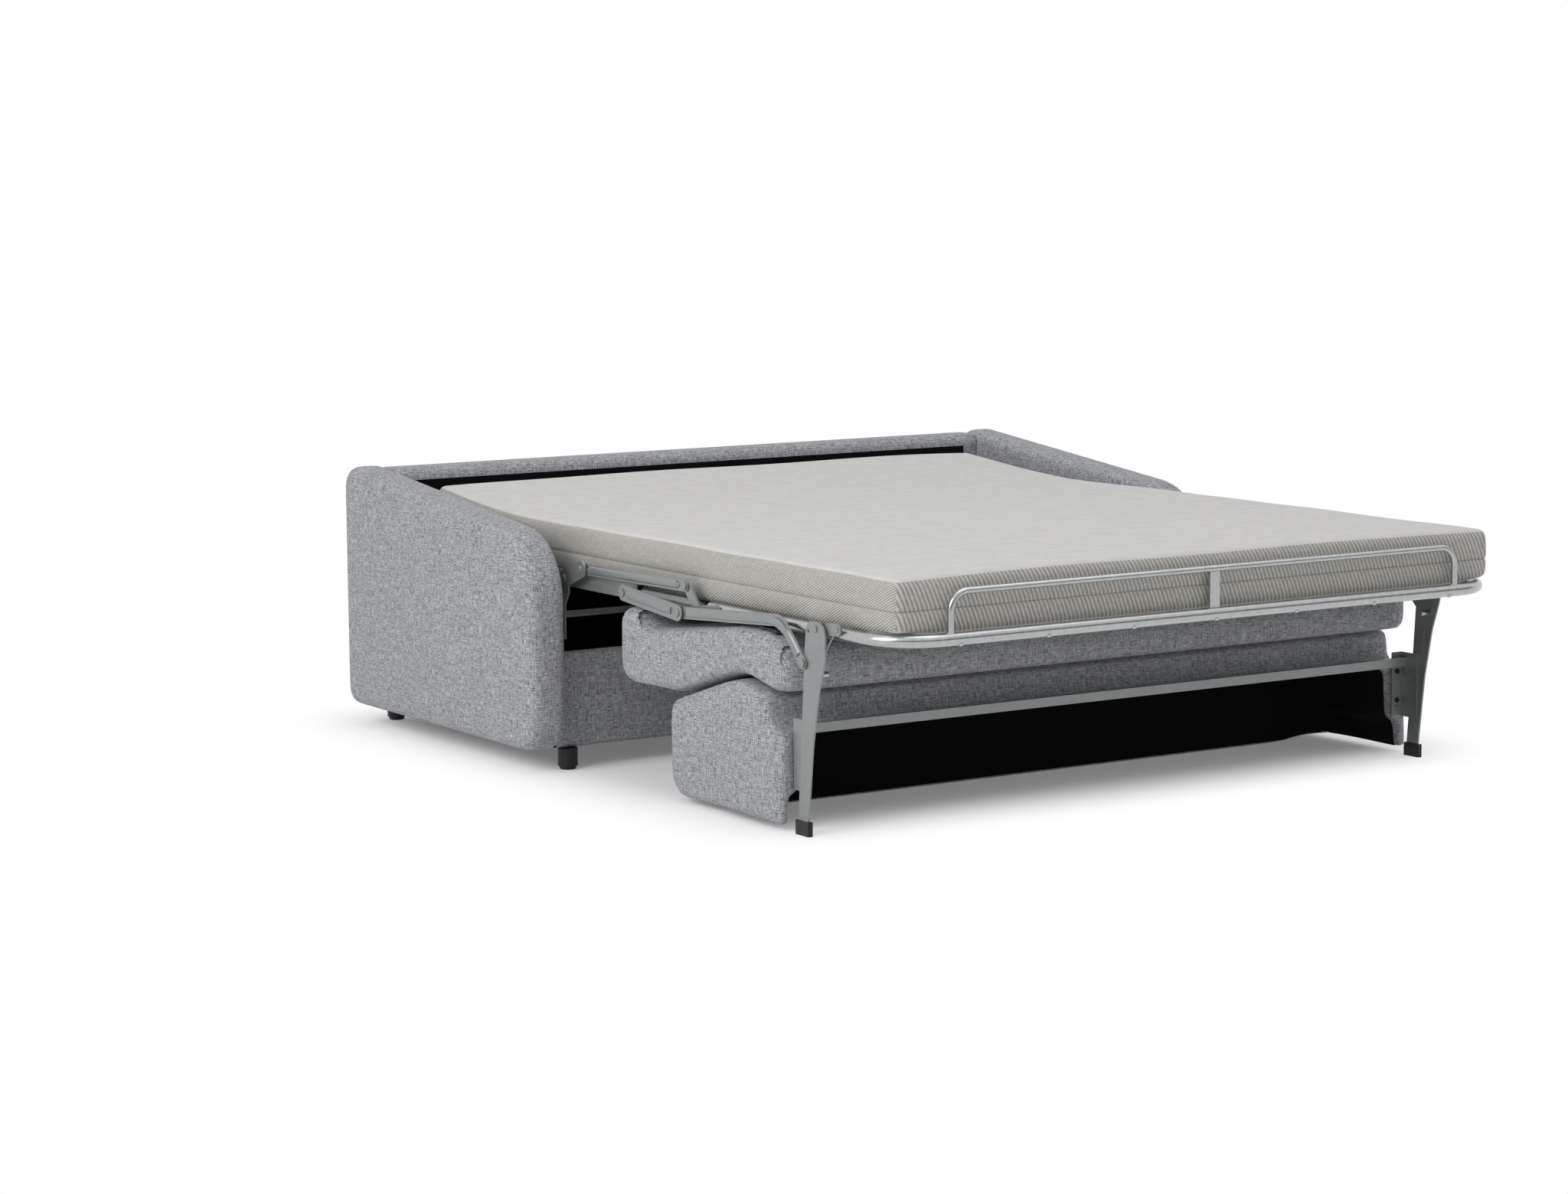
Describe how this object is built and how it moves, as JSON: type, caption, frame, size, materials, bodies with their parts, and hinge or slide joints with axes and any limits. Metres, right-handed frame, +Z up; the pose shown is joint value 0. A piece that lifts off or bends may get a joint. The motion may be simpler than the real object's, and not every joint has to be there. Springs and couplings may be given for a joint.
{
  "type": "sofa bed",
  "caption": "Upholstered sofa bed opened out: low arms and back, steel folding bed frame with mattress, seat and backrest carried under the foot end.",
  "frame": {"origin": "on the floor under the middle of the opened bed's bounding box", "axes": "+X to the right seen from the foot, +Y towards the sofa's back, +Z up"},
  "size_m": [1.948, 2.182, 0.6392],
  "materials": {
    "upholstery": "grey melange woven fabric",
    "mattress_cover": "pale grey ribbed knit ticking",
    "black_lining": "black nonwoven lining",
    "timber": "planed softwood",
    "black_metal": "black powder coat",
    "black_plastic": "moulded black plastic",
    "webbing": "elastic webbing",
    "satin_tube": "satin silver-grey epoxy",
    "pressed_steel": "silver-grey epoxy on pressed steel"
  },
  "bodies": {
    "base": {"right_arm": "upholstery", "left_arm": "upholstery", "back_panel": "upholstery", "back_lining": "black_lining", "front_apron": "upholstery", "right_side_board": "black_lining", "left_side_board": "black_lining", "bottom_rails": "timber", "dust_cover": "black_lining", "sofa_legs": "black_metal", "glides": "black_plastic", "right_hinge_plate": "pressed_steel", "left_hinge_plate": "pressed_steel", "plate_bolts": "pressed_steel", "base_cross_bar": "pressed_steel", "right_head_rail": "pressed_steel", "left_head_rail": "pressed_steel", "head_cross_tubes": "pressed_steel", "head_webbing": "webbing", "fold_pins": "pressed_steel", "mattress_head": "mattress_cover"},
    "mid_section": {"right_mid_channel": "pressed_steel", "left_mid_channel": "pressed_steel", "channel_rivets": "pressed_steel", "right_mid_tube": "pressed_steel", "left_mid_tube": "pressed_steel", "mid_spacers": "pressed_steel", "mid_cross_tubes": "pressed_steel", "mid_webbing": "webbing", "mattress_bend": "mattress_cover"},
    "foot_section": {"foot_tube": "satin_tube", "right_joint_plate": "pressed_steel", "left_joint_plate": "pressed_steel", "joint_pins": "pressed_steel", "upper_link_pins": "pressed_steel", "right_leg_lug": "pressed_steel", "left_leg_lug": "pressed_steel", "mattress_retainer": "satin_tube", "retainer_strap": "satin_tube", "foot_cross_tubes": "pressed_steel", "foot_webbing": "webbing", "seat_cushion": "upholstery", "seat_clips": "black_plastic", "mattress_foot": "mattress_cover"},
    "leg_frame": {"right_leg": "pressed_steel", "left_leg": "pressed_steel", "leg_caps": "black_plastic", "right_leg_bracket": "pressed_steel", "left_leg_bracket": "pressed_steel", "bracket_screws": "black_metal", "leg_cross_bar": "pressed_steel", "leg_rod": "satin_tube", "leg_catches": "pressed_steel", "leg_link_pins": "pressed_steel", "backrest_cushion": "upholstery", "backrest_lining": "black_lining"},
    "upper_links": {"right_upper_link": "pressed_steel", "left_upper_link": "pressed_steel"},
    "leg_links": {"right_leg_link": "pressed_steel", "left_leg_link": "pressed_steel"}
  },
  "joints": [
    {"name": "mid_fold", "type": "hinge", "parent": "base", "child": "mid_section", "pos_m": [0, -0.067, 0.433], "axis": [-1, 0, 0], "range_deg": [0, 90], "deforming": ["mattress_bend"]},
    {"name": "foot_fold", "type": "hinge", "parent": "mid_section", "child": "foot_section", "pos_m": [0, -0.355, 0.42], "axis": [-1, 0, 0], "range_deg": [0, 90]},
    {"name": "leg_recline", "type": "hinge", "parent": "foot_section", "child": "leg_frame", "pos_m": [0, -0.829, 0.435], "axis": [-1, 0, 0], "range_deg": [0, 25]},
    {"name": "upper_link_swing", "type": "hinge", "parent": "foot_section", "child": "upper_links", "pos_m": [0, -0.309, 0.472], "axis": [-1, 0, 0], "range_deg": [-143, 0]},
    {"name": "leg_link_swing", "type": "hinge", "parent": "leg_frame", "child": "leg_links", "pos_m": [0, -0.787, 0.36], "axis": [-1, 0, 0], "range_deg": [-33, 0]}
  ],
  "couplings": [
    {"joint": "mid_fold", "follows": "foot_fold", "ratio": 1},
    {"joint": "leg_recline", "follows": "foot_fold", "ratio": 0.26933},
    {"joint": "upper_link_swing", "follows": "foot_fold", "ratio": -1.5856},
    {"joint": "leg_link_swing", "follows": "foot_fold", "ratio": -0.36544}
  ]
}
